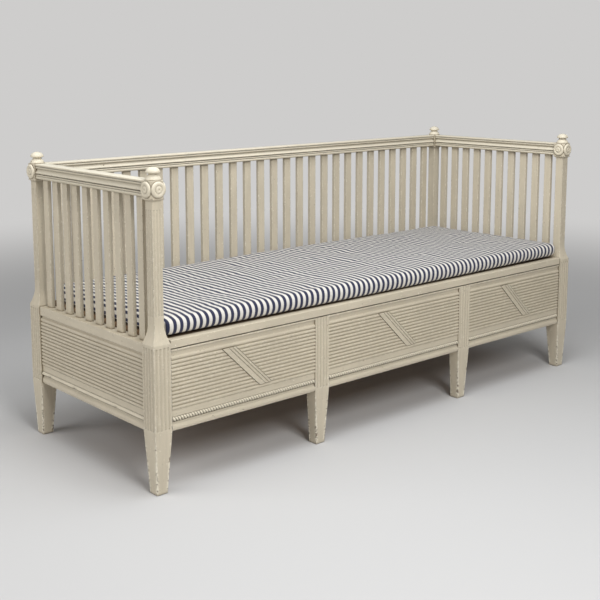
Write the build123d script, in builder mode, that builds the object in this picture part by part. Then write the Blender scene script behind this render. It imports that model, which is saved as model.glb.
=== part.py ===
from build123d import *
import os
from collections import namedtuple
from math import asin, cos, pi, sin, sqrt

# A Gustavian pull-out bench bed. Four corner posts carry three moulded top rails with slats between
# them; the seat is a loose lid, and the whole reeded front with its two middle legs slides out.
# X runs along the bench, -Y is the open front and +Z is up. The origin is on the floor, under the
# middle. All sizes are in millimetres.

# ---- overall sizes -----------------------------------------------------------------------------
length = 2000.0  # over the corner posts' leg blocks
depth = 720.0  # front to back, over the same blocks
height = 942.0  # floor to the tops of the finials

# ---- corner posts ------------------------------------------------------------------------------
block = 58.0  # square leg block beside the panels
foot = 36.0  # square foot at the floor
foot_set_in = 8.0  # the foot's outer faces stand inside the block's
foot_bevel = 2.5
upper_post = 32.0  # square upper post beside the slats
cove_height = 56.0  # hollow that thins the block to the upper post
shoulder_rise = 2.0  # the block ends this far above the seat rails
cube = 46.0  # square cube in which the top rails meet
cube_lip = 4.0  # the cube hangs below the top rails
cube_neck = 5.0  # flare under the cube
cube_edge = 1.0  # bevel round its top
cube_corner = 6.0  # flat on each upright corner between two free faces

# ---- turned pieces -----------------------------------------------------------------------------
finial_height = 37.0
bell_radius = 22.0  # finial's foot on the cube
neck_radius = 11.5
neck_level = 16.5
cap_radius = 18.8  # mushroom cap
cap_level = 24.0
rosette_radius = 22.8
rosette_proud = 5.9
rosette_hollow = 10.5  # radius of the sunk middle
rosette_groove = 2.4  # its floor above the cube's face
rosette_drop = 25.0  # centre below the cube's top

# ---- levels of the box, from the floor up -------------------------------------------------------
leg_clear = 183.0  # floor to the underside of the lower rails
lower_rail_height = 26.0
bead_height = 15.0  # planted bead on the lower rail
band_height = 19.5  # flat band between the bead and the reeds
reed_count = 13
reed_pitch = 11.27
cap_height = 32.5  # moulded rail over the reeds of the front
seat_rail_height = 50.0  # rail over the reeds of the ends, under the slats
top_rail_height = 48.0

# ---- sections ----------------------------------------------------------------------------------
panel_set_back = 4.0  # end and back mouldings, inside the posts' outer faces
front_set_back = 2.0  # moulded front and lid rail, inside the posts' front faces
panel_thick = 18.0
lower_rail_thick = 30.0
front_frame_thick = 42.0  # rails and middle legs of the pull-out front
top_rail_thick = 40.0
reed_relief = 4.2  # reeds' crests above their grooves
band_relief = 3.0  # flat band behind the reeds' crests
bead_seat = 9.0  # the bead's back behind the reeds' crests
tongue_thick = 8.0  # tongue round each panel
tongue_long = 6.0
tenon_clear = 2.0  # between two tenons that meet in a post

# ---- slats and flutes ---------------------------------------------------------------------------
slat_width = 29.0
slat_thick = 12.0
slat_housing = 8.0  # slat ends let into the rails
end_slats = 10
back_slats = 28
flute_width = 9.0
flute_depth = 2.2
flute_pitch = 13.5
flute_stop = 7.0  # plain wood beyond a flute's end
post_flute_width = 6.5
post_flute_depth = 1.2
post_flute_pitch = 10.0
post_flute_stop = 22.0

# Flats that stand for the round of each small reed and flute, which keeps the model light.
reed_flats = 3
flute_flats = 3

# ---- pull-out front -----------------------------------------------------------------------------
front_gap = 3.0  # between the moulded front and each corner post
middle_leg = 60.0  # width of a fluted middle leg
middle_leg_x = 354.0  # its centre, from the middle of the bench
middle_foot = 36.0  # its width at the floor
middle_foot_set_in = 8.0  # its front face's slope
ribbon_bands = (14.0, 6.5, 6.5)  # a diagonal ribbon's flat bands, from its lower side up
ribbon_groove = 3.0
ribbon_run = 1.04  # sideways run of the ribbon for each unit of its fall
ribbon_rise = 0.5  # ribbon above the reeds' crests
ribbon_sink = 1.8  # depth of the grooves between its bands
ribbon_shadow = 2.0  # reeds stop this far beside the ribbon
front_fillet = 5.0  # square edge over the front's mouldings

# ---- seat lid and mattress ------------------------------------------------------------------------
lid_gap = 3.5  # between the pull-out front and the lid's rail
lid_play = 1.5  # between the lid and each corner post
lid_rail_height = 24.0
lid_rail_thick = 28.0
lid_board_thick = 18.0
lid_boards = 4
lid_back_play = 4.0
batten_thick = 22.0
batten_width = 60.0
batten_end_gap = 20.0  # battens stop this far behind the lid's front rail
mattress_length = 1880.0
mattress_depth = 654.0
mattress_thick = 60.0
mattress_overhang = 12.0  # front edge behind the lid rail's front face
mattress_corner = 16.0  # flats that stand for its round corners and edges
mattress_edge = 14.0
soft_gap = 0.3

# ---- inside the box -------------------------------------------------------------------------------
ledger_width = 24.0
ledger_height = 22.0
bar_height = 22.0
bar_width = 25.0
bed_rise = 30.0  # undersides of the bed slats, above the lower rails' undersides
bed_slat_width = 52.0
bed_slat_thick = 12.0
moving_slats = 15
bed_side_thick = 18.0
bed_side_drop = 8.0  # the sides' tops below the lid's battens
bed_side_gap = 5.0  # between a side and the lid's ledger
slide_gap = 0.3
bed_reach = 215.0  # the pull-out bed's rear end, at rest
fixed_bar_y = -257.5  # middle of the fixed cross bar
fit_gap = 0.15  # glued joints

# ---- levels and faces that follow ------------------------------------------------------------------
lower_rail_top = leg_clear + lower_rail_height
bead_top = lower_rail_top + bead_height
reeds_bottom = bead_top + band_height
reeds_top = reeds_bottom + reed_count * reed_pitch
apron_top = reeds_top + cap_height
seat_rail_top = reeds_top + seat_rail_height
block_top = seat_rail_top + shoulder_rise
cube_top = height - finial_height
top_rail_bottom = cube_top - top_rail_height
cube_bottom = top_rail_bottom - cube_lip
lid_top = apron_top + lid_gap + lid_rail_height
batten_bottom = lid_top - lid_board_thick - batten_thick
bed_level = leg_clear + bed_rise

post_x = (length - block) / 2
post_y = (depth - block) / 2
between_x = length / 2 - block  # half the clear width between the leg blocks
between_y = depth / 2 - block
slats_x = post_x - upper_post / 2  # half the clear width between the upper posts
slats_y = post_y - upper_post / 2
seat_rail_thick = block / 2 + upper_post / 2 - panel_set_back  # flush with the upper posts inside
front_y = -depth / 2 + front_set_back
front_back_y = front_y + front_frame_thick

outward = {"left": (-1, 0, 0), "right": (1, 0, 0), "back": (0, 1, 0), "front": (0, -1, 0)}
Tenon = namedtuple("Tenon", "low high thick set_in long")


def corner_tenon(low, high, thick, set_in, square):
    """A tenon that stops short of the other side's tenon in a square post."""
    return Tenon(low, high, thick, set_in, square - set_in - thick / 2 - tenon_clear)


top_tenon = corner_tenon(top_rail_bottom + 9, cube_top - 9, 12, cube / 2, cube)
top_tenon = top_tenon._replace(set_in=block / 2)  # sections are drawn from the blocks' outer faces
seat_tenon = corner_tenon(
    reeds_top + 8, seat_rail_top - 8, 14, panel_set_back + seat_rail_thick / 2, block
)
lower_tenon = corner_tenon(
    leg_clear + 5, lower_rail_top - 5, 12, panel_set_back + lower_rail_thick / 2, block
)
end_tongue = Tenon(
    lower_rail_top, reeds_top, tongue_thick, panel_set_back + panel_thick - tongue_thick / 2, tongue_long
)
front_tongue = end_tongue._replace(set_in=front_set_back + panel_thick - tongue_thick / 2)
slat_groove = Tenon(top_rail_bottom, top_rail_bottom, slat_thick, 0, 0)
cap_tenon = Tenon(reeds_top + 9, apron_top - 9, 12, front_set_back + front_frame_thick / 2, 12)
sill_tenon = Tenon(leg_clear + 5, lower_rail_top - 5, 12, front_set_back + front_frame_thick / 2, 12)


def across(side, at=0.0):
    """Section plane of a side: x outwards from the posts' outer faces, y up, z along the side."""
    out = Vector(*outward[side])
    run = out.cross(Vector(0, 0, 1))
    reach = length / 2 if out.X else depth / 2
    return Plane(origin=out * reach + run * at, x_dir=out, z_dir=run)


def outline(start, *steps):
    """Draws a closed outline; a step is the next corner, or a point on an arc and its end."""
    here = start
    for step in steps:
        if isinstance(step[0], tuple):
            ThreePointArc(here, step[0], step[1])
            here = step[1]
        else:
            Line(here, step)
            here = step
    Line(here, start)


def flats(centre, radius, start, end, count):
    """Corners of the flats that stand for an arc, from the first after its start to its end."""
    angles = [start + (end - start) * (n + 1) / count for n in range(count)]
    return [(centre[0] + radius * cos(a), centre[1] + radius * sin(a)) for a in angles]


def save(made, name):
    """Names a finished piece and writes it to its own file."""
    made.part.label = name
    export_step(made.part, f"parts/{name}.step")


def tenon_section(tenon, grow=0.0):
    """Cross-section of a tenon on a section plane, or of its mortise when it grows."""
    with BuildSketch(mode=Mode.PRIVATE) as section:
        with Locations((-tenon.set_in, (tenon.low + tenon.high) / 2)):
            Rectangle(tenon.thick + 2 * grow, tenon.high - tenon.low + 2 * grow)
    return section.sketch


def panel_section(set_back):
    """Section of a reeded board: seat of the bead, flat band and half-round reeds, from the foot up."""
    crest = -set_back
    root = crest - reed_relief
    seat = crest - bead_seat
    band = crest - band_relief
    radius = reed_pitch**2 / (8 * reed_relief) + reed_relief / 2
    turn = asin(reed_pitch / 2 / radius)
    reeds = []
    for n in range(reed_count):
        axis = (crest - radius, reeds_bottom + (n + 0.5) * reed_pitch)
        reeds += flats(axis, radius, -turn, turn, reed_flats)
    with BuildSketch(mode=Mode.PRIVATE) as section:
        with BuildLine():
            outline(
                (crest - panel_thick, lower_rail_top),
                (seat, lower_rail_top),
                (seat, bead_top),
                (band, bead_top),
                (band, reeds_bottom - 1.5),
                (root, reeds_bottom),
                *reeds,
                (crest - panel_thick, reeds_top),
            )
        make_face()
    return section.sketch


def moulded_rail_section(set_back, thick, top, fillet):
    """Section of the rail over the reeds: ovolo, cove and a square fillet of the given height."""
    crest = -set_back
    with BuildSketch(mode=Mode.PRIVATE) as section:
        with BuildLine():
            outline(
                (crest - thick, reeds_top),
                (crest - 4.5, reeds_top),
                (crest - 3.5, reeds_top + 1),
                ((crest - 0.8, reeds_top + 7), (crest - 5, reeds_top + 13.5)),
                ((crest - 5.8, reeds_top + 19), (crest - 2, top - fillet)),
                (crest, top - fillet),
                (crest, top - 0.8),
                (crest - 0.8, top),
                (crest - thick, top),
            )
        make_face()
    return section.sketch


def lower_rail_section(set_back, thick):
    """Section of a lower rail: a broad torus under a small cove."""
    crest = -set_back
    with BuildSketch(mode=Mode.PRIVATE) as section:
        with BuildLine():
            outline(
                (crest - thick, leg_clear),
                (crest - 3, leg_clear),
                ((crest - 0.1, leg_clear + 10), (crest - 4.5, lower_rail_top - 5.5)),
                ((crest - 5, lower_rail_top - 2.5), (crest - 6.5, lower_rail_top)),
                (crest - thick, lower_rail_top),
            )
        make_face()
    return section.sketch


def bead_section(set_back):
    """Section of the planted bead: a half round over a narrow quirk."""
    crest = -set_back
    back = crest - bead_seat
    with BuildSketch(mode=Mode.PRIVATE) as section:
        with BuildLine():
            outline(
                (back, lower_rail_top),
                (crest - 6.5, lower_rail_top),
                (crest - 6.5, lower_rail_top + 3.5),
                ((crest - 0.8, lower_rail_top + 9.3), (crest - 5.5, bead_top)),
                (back, bead_top),
            )
        make_face()
    return section.sketch


def groove_section(tenon, edge, depth_in):
    """Groove for a panel's tongue, let into the rail above or below from the given edge."""
    with BuildSketch(mode=Mode.PRIVATE) as section:
        with Locations((-tenon.set_in, edge)):
            Rectangle(tenon.thick + 2 * fit_gap, 2 * depth_in)
    return section.sketch


# ---- flutes ---------------------------------------------------------------------------------------
def flute_tool(width, sink, reach):
    """A cutter for a flute with rounded ends; its axis stands outside the fluted face."""
    radius = width**2 / (8 * sink) + sink / 2
    sides = round(pi / asin(width / 2 / radius)) * flute_flats
    with BuildPart() as cutter:
        with BuildSketch(Plane.XY.offset(-reach / 2)):
            RegularPolygon(radius, sides)
        extrude(amount=reach)
        ends = cutter.edges().group_by(Axis.Z)
        chamfer(ends[0] + ends[-1], radius * 0.6)
    return cutter.part, radius - sink


block_flute, block_flute_out = flute_tool(
    flute_width, flute_depth, block_top - leg_clear - 2 * flute_stop
)
post_flute, post_flute_out = flute_tool(
    post_flute_width,
    post_flute_depth,
    cube_bottom - cube_neck - block_top - cove_height - 2 * post_flute_stop,
)


def flute_places(middle, count, pitch):
    """Offsets of a set of flutes across a face."""
    return [middle + (n - (count - 1) / 2) * pitch for n in range(count)]


# ---- corner posts -----------------------------------------------------------------------------------
def post_section():
    """Outline of a corner post seen from the front or the end; x is outwards from its axis."""
    half, thin, square = block / 2, upper_post / 2, cube / 2
    foot_out = half - foot_set_in
    foot_in = foot_out - foot
    neck_bottom = cube_bottom - cube_neck
    cove_bow = (half - thin) * 0.27  # the hollow is nearly straight below and upright above
    cove_mid = block_top + cove_height / 2
    with BuildSketch(mode=Mode.PRIVATE) as section:
        with BuildLine():
            outline(
                (foot_in + foot_bevel, 0),
                (foot_out - foot_bevel, 0),
                (foot_out, foot_bevel),
                (half, leg_clear),
                (half, block_top),
                ((thin + cove_bow, cove_mid), (thin, block_top + cove_height)),
                (thin, neck_bottom),
                (square, cube_bottom),
                (square, cube_top - cube_edge),
                (square - cube_edge, cube_top),
                (cube_edge - square, cube_top),
                (-square, cube_top - cube_edge),
                (-square, cube_bottom),
                (-thin, neck_bottom),
                (-thin, block_top + cove_height),
                ((-thin - cove_bow, cove_mid), (-half, block_top)),
                (-half, leg_clear),
                (foot_in, foot_bevel),
            )
        make_face()
    return section.sketch


def corner_post(sx, sy):
    """A corner post at the end sx and the face sy, each -1 or 1; the front posts have sy -1."""
    axis = (sx * post_x, sy * post_y)
    end = "left" if sx < 0 else "right"
    end_run = across(end).z_dir.Y * sy
    seen_from_front = Plane(origin=(*axis, 0), x_dir=(sx, 0, 0), z_dir=(0, -sx, 0))
    seen_from_end = Plane(origin=(*axis, 0), x_dir=(0, sy, 0), z_dir=(sy, 0, 0))
    joints = [(end, end_run, between_y, t) for t in (seat_tenon, lower_tenon, end_tongue)]
    joints.append((end, end_run, post_y - cube / 2, top_tenon))
    if sy > 0:
        joints += [("back", sx, between_x, t) for t in (seat_tenon, lower_tenon, end_tongue)]
        joints.append(("back", sx, post_x - cube / 2, top_tenon))
    faces = [(sx * (block / 2 + block_flute_out), 0, 0, 1)]
    thin_faces = [(sx * (upper_post / 2 + post_flute_out), 0, 0, 1)]
    if sy < 0:
        faces.append((0, -block / 2 - block_flute_out, 1, 0))
        thin_faces.append((0, -upper_post / 2 - post_flute_out, 1, 0))

    with BuildPart() as post:
        extrude(seen_from_front * post_section(), amount=block, both=True)
        extrude(seen_from_end * post_section(), amount=block, both=True, mode=Mode.INTERSECT)
        flute_z = (leg_clear + block_top) / 2
        for x, y, along_x, along_y in faces:
            for step in flute_places(0, 4, flute_pitch):
                with Locations((axis[0] + x + along_x * step, axis[1] + y + along_y * step, flute_z)):
                    add(block_flute, mode=Mode.SUBTRACT)
        thin_z = (block_top + cove_height + cube_bottom - cube_neck) / 2
        for x, y, along_x, along_y in thin_faces:
            for step in flute_places(0, 3, post_flute_pitch):
                with Locations((axis[0] + x + along_x * step, axis[1] + y + along_y * step, thin_z)):
                    add(post_flute, mode=Mode.SUBTRACT)
        for way in (1,) if sy > 0 else (-1, 1):
            with Locations((axis[0] + way * sx * cube / 2, axis[1] + sy * cube / 2, cube_bottom)):
                side_long = cube_corner * sqrt(2)
                Box(
                    side_long,
                    side_long,
                    cube_top - cube_bottom,
                    rotation=(0, 0, 45),
                    align=(Align.CENTER, Align.CENTER, Align.MIN),
                    mode=Mode.SUBTRACT,
                )
        for side, way, start, tenon in joints:
            mouth = across(side, way * start) * tenon_section(tenon, fit_gap)
            extrude(mouth, amount=way * (tenon.long + fit_gap), mode=Mode.SUBTRACT)
    return post


# ---- finials and rosettes ------------------------------------------------------------------------------
def turned_finial():
    """A turned finial standing on the XY plane: a bell foot, a neck and a mushroom cap."""
    bell_mid = (bell_radius * 0.86, neck_level * 0.55)
    cap_mid = (cap_radius * 0.6, cap_level + (finial_height - cap_level) * 0.66)
    with BuildPart() as turned:
        with BuildSketch(Plane.XZ):
            with BuildLine():
                Polyline(
                    (0, finial_height),
                    (0, 0),
                    (bell_radius, 0),
                    bell_mid,
                    (neck_radius, neck_level),
                    (cap_radius, cap_level),
                )
                Spline((cap_radius, cap_level), cap_mid, (0, finial_height))
            make_face()
        revolve(axis=Axis.Z)
    return turned.part


def turned_rosette():
    """A turned rosette lying on the XY plane: a fat ring round a sunk middle."""
    with BuildPart() as turned:
        with BuildSketch(Plane.XZ):
            with BuildLine():
                outline(
                    (0, 0),
                    (rosette_radius, 0),
                    (rosette_radius * 0.85, rosette_proud),
                    (rosette_hollow, rosette_groove),
                    (0, rosette_groove),
                )
            make_face()
        revolve(axis=Axis.Z)
    return turned.part


def rosette_seats(sx, sy):
    """Planes on the free faces of one corner cube, looking outwards."""
    facing = [(sx, 0), (0, sy)]
    if sy < 0:
        facing.append((-sx, 0))
    level = cube_top - rosette_drop
    return [
        Plane(
            origin=(sx * post_x + fx * cube / 2, sy * post_y + fy * cube / 2, level),
            x_dir=(0, 0, 1),
            z_dir=(fx, fy, 0),
        )
        for fx, fy in facing
    ]


# ---- top rails, slats, seat rails and panels ---------------------------------------------------------------
def top_rail_section():
    """Half a top rail's section, from its middle line outwards; x is outwards from the posts' axes."""
    edge = top_rail_thick / 2
    low, high = top_rail_bottom, cube_top
    with BuildSketch(mode=Mode.PRIVATE) as section:
        with BuildLine():
            outline(
                (0, low),
                (edge - 4, low),
                ((edge, low + 6.5), (edge - 3.5, low + 13)),
                (edge - 4.5, low + 13.8),
                (edge - 1.5, low + 15),
                ((edge - 3, low + 23), (edge - 1.5, low + 31)),
                (edge - 4.5, low + 32.2),
                (edge - 3.5, low + 33),
                ((edge, low + 38), (edge - 3.5, low + 43)),
                (edge - 4.5, low + 43.8),
                (edge - 2, low + 45),
                (edge - 2, high - 1),
                (edge - 3, high),
                (0, high),
            )
        make_face()
        mirror(about=Plane.YZ)
    return section.sketch


def slat_spacing(count, clear):
    """Centre distance of slats with equal gaps in a clear width."""
    return (clear - count * slat_width) / (count + 1) + slat_width


def slat_places(side, count, half_clear):
    """Centres of a side's slats on a level plane."""
    frame_side = across(side)
    pitch = slat_spacing(count, 2 * half_clear)
    return [
        (frame_side.origin - frame_side.x_dir * (block / 2) + frame_side.z_dir * step)
        for step in flute_places(0, count, pitch)
    ]


def slat_prints(side, count, half_clear, grow=0.0):
    """Plan of a side's slats, or of their housings when it grows."""
    turned = side in ("left", "right")
    wide, thin = slat_width + 2 * grow, slat_thick + 2 * grow
    with BuildSketch(mode=Mode.PRIVATE) as prints:
        with Locations(*[(p.X, p.Y) for p in slat_places(side, count, half_clear)]):
            Rectangle(thin if turned else wide, wide if turned else thin)
    return prints.sketch


def side_pieces(side, half_blocks, half_cubes, half_clear, count):
    """Rails, slats, panel and bead of one side, from the top down."""
    centre_line = across(side).offset(0)
    centre_line.origin = centre_line.origin - centre_line.x_dir * (block / 2)

    with BuildPart() as top_rail:
        extrude(centre_line * top_rail_section(), amount=half_cubes, both=True)
        extrude(across(side) * tenon_section(top_tenon), amount=half_cubes + top_tenon.long, both=True)
        groove = centre_line * groove_section(slat_groove, top_rail_bottom, slat_housing)
        extrude(groove, amount=half_clear, both=True, mode=Mode.SUBTRACT)
    save(top_rail, f"top_rail_{side}")

    with BuildPart() as slats:
        prints = Plane.XY.offset(seat_rail_top - slat_housing) * slat_prints(side, count, half_clear)
        extrude(prints, amount=top_rail_bottom - seat_rail_top + 2 * slat_housing)
    save(slats, f"slats_{side}")

    with BuildPart() as seat_rail:
        section = moulded_rail_section(
            panel_set_back, seat_rail_thick, seat_rail_top, seat_rail_top - reeds_top - 22
        )
        extrude(across(side) * section, amount=half_blocks, both=True)
        extrude(across(side) * tenon_section(seat_tenon), amount=half_blocks + seat_tenon.long, both=True)
        groove = across(side) * groove_section(end_tongue, reeds_top, tongue_long + fit_gap)
        extrude(groove, amount=half_blocks, both=True, mode=Mode.SUBTRACT)
        housings = Plane.XY.offset(seat_rail_top) * slat_prints(side, count, half_clear, fit_gap)
        extrude(housings, amount=-slat_housing, mode=Mode.SUBTRACT)
    save(seat_rail, f"seat_rail_{side}")

    with BuildPart() as lower_rail:
        section = lower_rail_section(panel_set_back, lower_rail_thick)
        extrude(across(side) * section, amount=half_blocks, both=True)
        extrude(across(side) * tenon_section(lower_tenon), amount=half_blocks + lower_tenon.long, both=True)
        groove = across(side) * groove_section(end_tongue, lower_rail_top, tongue_long + fit_gap)
        extrude(groove, amount=half_blocks, both=True, mode=Mode.SUBTRACT)
    save(lower_rail, f"lower_rail_{side}")

    with BuildPart() as panel:
        if side == "back":
            plain = end_tongue._replace(thick=panel_thick, set_in=panel_set_back + panel_thick / 2)
            extrude(across(side) * tenon_section(plain), amount=half_blocks, both=True)
        else:
            extrude(across(side) * panel_section(panel_set_back), amount=half_blocks, both=True)
        rim = end_tongue._replace(low=end_tongue.low - tongue_long, high=end_tongue.high + tongue_long)
        extrude(across(side) * tenon_section(end_tongue), amount=half_blocks + tongue_long, both=True)
        extrude(across(side) * tenon_section(rim), amount=half_blocks, both=True)
    save(panel, f"panel_{side}")

    if side != "back":
        with BuildPart() as bead:
            extrude(across(side) * bead_section(panel_set_back), amount=half_blocks, both=True)
        save(bead, f"bead_{side}")


# ---- pull-out front -------------------------------------------------------------------------------------
front_end = between_x - front_gap
inner_edge = middle_leg_x - middle_leg / 2
outer_edge = middle_leg_x + middle_leg / 2
Bay = namedtuple("Bay", "name low high leg_low leg_high")
bays = [
    Bay("left", -front_end, -outer_edge, False, True),
    Bay("centre", -inner_edge, inner_edge, True, True),
    Bay("right", outer_edge, front_end, True, False),
]


def bay_run(bay, section, tenon_long=0.0):
    """A front section run through one bay, reaching into the legs beside it by the tenon's length."""
    low = bay.low - (tenon_long if bay.leg_low else 0)
    high = bay.high + (tenon_long if bay.leg_high else 0)
    return extrude(across("front", -high) * section, amount=high - low)


ribbon_width = sum(ribbon_bands) + ribbon_groove * (len(ribbon_bands) - 1)
ribbon_foot = reeds_bottom + reed_pitch  # the ribbon ends on top of the lowest reed


def ribbon_print(bay, left, right):
    """A band of the ribbon between two edges, measured square to it from its lower side."""
    middle_x = (bay.low + bay.high) / 2
    middle_z = (reeds_top + ribbon_foot) / 2
    slant = sqrt(1 + ribbon_run**2)
    corners = [
        (middle_x + (middle_z - z) * ribbon_run + (edge - ribbon_width / 2) * slant, z)
        for z, edge in ((reeds_top, left), (reeds_top, right), (ribbon_foot, right), (ribbon_foot, left))
    ]
    with BuildSketch(mode=Mode.PRIVATE) as band:
        with BuildLine():
            Polyline(*corners, close=True)
        make_face()
    return band.sketch


def bay_panel(bay):
    """The reeded board of a bay, with a diagonal ribbon of flat bands across its reeds."""
    face = Plane(origin=(0, front_y, 0), x_dir=(1, 0, 0), z_dir=(0, -1, 0))
    edge = 0.0
    with BuildPart() as panel:
        bay_run(bay, panel_section(front_set_back))
        bay_run(bay, tenon_section(front_tongue), tongue_long)
        rim = front_tongue._replace(low=lower_rail_top - tongue_long, high=reeds_top + tongue_long)
        bay_run(bay, tenon_section(rim))
        bed = face.offset(-reed_relief) * ribbon_print(bay, -ribbon_shadow, ribbon_width + ribbon_shadow)
        extrude(bed, amount=reed_relief + 1, mode=Mode.SUBTRACT)
        extrude(
            face.offset(-reed_relief) * ribbon_print(bay, 0, ribbon_width),
            amount=reed_relief + ribbon_rise - ribbon_sink,
        )
        for width in ribbon_bands:
            band = face.offset(-reed_relief) * ribbon_print(bay, edge, edge + width)
            extrude(band, amount=reed_relief + ribbon_rise)
            edge += width + ribbon_groove
    return panel


def middle_leg_piece(sx):
    """A fluted middle leg: the stile between two bays, tapered to its foot below the box."""
    x = sx * middle_leg_x
    half, thin = middle_leg / 2, middle_foot / 2
    seen_from_front = Plane(origin=(x, front_y, 0), x_dir=(1, 0, 0), z_dir=(0, -1, 0))
    seen_from_end = Plane(origin=(x, front_y, 0), x_dir=(0, 1, 0), z_dir=(1, 0, 0))
    with BuildPart() as leg:
        with BuildSketch(seen_from_front):
            with BuildLine():
                outline(
                    (-thin + foot_bevel, 0),
                    (thin - foot_bevel, 0),
                    (thin, foot_bevel),
                    (half, leg_clear),
                    (half, apron_top),
                    (-half, apron_top),
                    (-half, leg_clear),
                    (-thin, foot_bevel),
                )
            make_face()
        extrude(amount=front_frame_thick, both=True)
        with BuildSketch(seen_from_end):
            with BuildLine():
                outline(
                    (middle_foot_set_in + foot_bevel, 0),
                    (front_frame_thick - foot_bevel, 0),
                    (front_frame_thick, foot_bevel),
                    (front_frame_thick, apron_top),
                    (0, apron_top),
                    (0, leg_clear),
                    (middle_foot_set_in, foot_bevel),
                )
            make_face()
        extrude(amount=middle_leg, both=True, mode=Mode.INTERSECT)
        top = (apron_top + leg_clear + flute_stop) / 2 + flute_width
        for step in flute_places(x, 4, flute_pitch):
            with Locations((step, front_y - leg_flute_out, top)):
                add(leg_flute, mode=Mode.SUBTRACT)
        for way in (-1, 1):
            mouth = -(x + way * half)
            for tenon in (cap_tenon, sill_tenon, front_tongue):
                mortise = across("front", mouth) * tenon_section(tenon, fit_gap)
                extrude(mortise, amount=way * (tenon.long + fit_gap), mode=Mode.SUBTRACT)
    return leg


leg_flute, leg_flute_out = flute_tool(
    flute_width, flute_depth, apron_top - leg_clear - flute_stop + 2 * flute_width
)


def board(low, high):
    """A plain board between two opposite corners."""
    size = [b - a for a, b in zip(low, high)]
    centre = [(a + b) / 2 for a, b in zip(low, high)]
    with BuildPart() as plank:
        with Locations(tuple(centre)):
            Box(*size)
    return plank


def mirrored_boards(low, high):
    """The same board at the left and the right end, as two pieces."""
    right = board(low, high)
    left = board((-high[0], low[1], low[2]), (-low[0], high[1], high[2]))
    return {"left": left, "right": right}


# ==== the pieces ==========================================================================================
os.makedirs("parts", exist_ok=True)

corners = {
    "front_left": (-1, -1),
    "front_right": (1, -1),
    "back_left": (-1, 1),
    "back_right": (1, 1),
}
for corner, (sx, sy) in corners.items():
    save(corner_post(sx, sy), f"post_{corner}")

with BuildPart() as finials:
    with Locations(*[(sx * post_x, sy * post_y, cube_top) for sx, sy in corners.values()]):
        add(turned_finial())
save(finials, "finials")

with BuildPart() as rosettes:
    with Locations(*[seat for sx, sy in corners.values() for seat in rosette_seats(sx, sy)]):
        add(turned_rosette())
save(rosettes, "rosettes")

for side in ("left", "right"):
    side_pieces(side, between_y, post_y - cube / 2, slats_y, end_slats)
side_pieces("back", between_x, post_x - cube / 2, slats_x, back_slats)

# pull-out front
for bay in bays:
    save(bay_panel(bay), f"bay_panel_{bay.name}")

with BuildPart() as front_top_rails:
    for bay in bays:
        bay_run(bay, moulded_rail_section(front_set_back, front_frame_thick, apron_top, front_fillet))
        bay_run(bay, tenon_section(cap_tenon), cap_tenon.long)
    for bay in bays:
        groove = groove_section(front_tongue, reeds_top, tongue_long + fit_gap)
        slot = across("front", -bay.high) * groove
        extrude(slot, amount=bay.high - bay.low, mode=Mode.SUBTRACT)
save(front_top_rails, "front_top_rails")

with BuildPart() as front_lower_rails:
    for bay in bays:
        bay_run(bay, lower_rail_section(front_set_back, front_frame_thick))
        bay_run(bay, tenon_section(sill_tenon), sill_tenon.long)
    for bay in bays:
        groove = groove_section(front_tongue, lower_rail_top, tongue_long + fit_gap)
        slot = across("front", -bay.high) * groove
        extrude(slot, amount=bay.high - bay.low, mode=Mode.SUBTRACT)
save(front_lower_rails, "front_lower_rails")

with BuildPart() as rope_mouldings:
    for bay in bays:
        bay_run(bay, bead_section(front_set_back))
save(rope_mouldings, "rope_mouldings")

save(middle_leg_piece(-1), "middle_leg_left")
save(middle_leg_piece(1), "middle_leg_right")

# ledgers, runners and bars of the fixed frame
ledger_in = slats_x - ledger_width
ledger_y = slats_y - ledger_width
ledger_bottom = batten_bottom - ledger_height
ledgers = mirrored_boards(
    (ledger_in, -ledger_y, ledger_bottom),
    (slats_x, ledger_y, batten_bottom),
)
for side, ledger in ledgers.items():
    save(ledger, f"lid_ledger_{side}")
save(
    board((-between_x, ledger_y, ledger_bottom), (between_x, slats_y, batten_bottom)),
    "lid_ledger_back",
)

side_out = ledger_in - bed_side_gap
side_in = side_out - bed_side_thick
lower_rail_in = length / 2 - panel_set_back - lower_rail_thick
lower_rail_in_y = depth / 2 - panel_set_back - lower_rail_thick
bar_bottom = bed_level - bar_height
runners = mirrored_boards(
    (side_in - 2, -between_y, bar_bottom),
    (lower_rail_in, between_y, bed_level),
)
for side, runner in runners.items():
    save(runner, f"runner_{side}")
save(
    board((-between_x, between_y, bar_bottom), (between_x, lower_rail_in_y, bed_level)),
    "bed_bearer_back",
)
fixed_bar_front = fixed_bar_y - bar_width / 2
save(
    board(
        (-side_in + 2, fixed_bar_front, bar_bottom), (side_in - 2, fixed_bar_front + bar_width, bed_level)
    ),
    "fixed_cross_bar",
)

# pull-out bed behind the front
ledger_back = front_back_y + bar_width
save(
    board((-side_in + 7, front_back_y, bar_bottom), (side_in - 7, ledger_back, bed_level)),
    "front_slat_ledger",
)
save(
    board((-side_in + 7, bed_reach - bar_width, bar_bottom), (side_in - 7, bed_reach, bed_level)),
    "bed_rear_bar",
)
bed_sides = mirrored_boards(
    (side_in, front_back_y, bed_level + slide_gap),
    (side_out, bed_reach + bar_width, batten_bottom - bed_side_drop),
)
for side, bed_side in bed_sides.items():
    save(bed_side, f"bed_side_{side}")

# two sets of bed slats that pass between each other
slat_step = (2 * side_in - bed_slat_width) / (2 * (moving_slats - 1))


def bed_slats(count, front, back):
    """One set of bed slats, every second place across the bed."""
    with BuildPart() as slats:
        for x in flute_places(0, count, 2 * slat_step):
            with Locations((x, (front + back) / 2, bed_level + bed_slat_thick / 2)):
                Box(bed_slat_width, back - front, bed_slat_thick)
    return slats


save(bed_slats(moving_slats, front_back_y, bed_reach), "bed_slats_moving")
save(bed_slats(moving_slats - 1, fixed_bar_front, lower_rail_in_y), "bed_slats_fixed")

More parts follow.
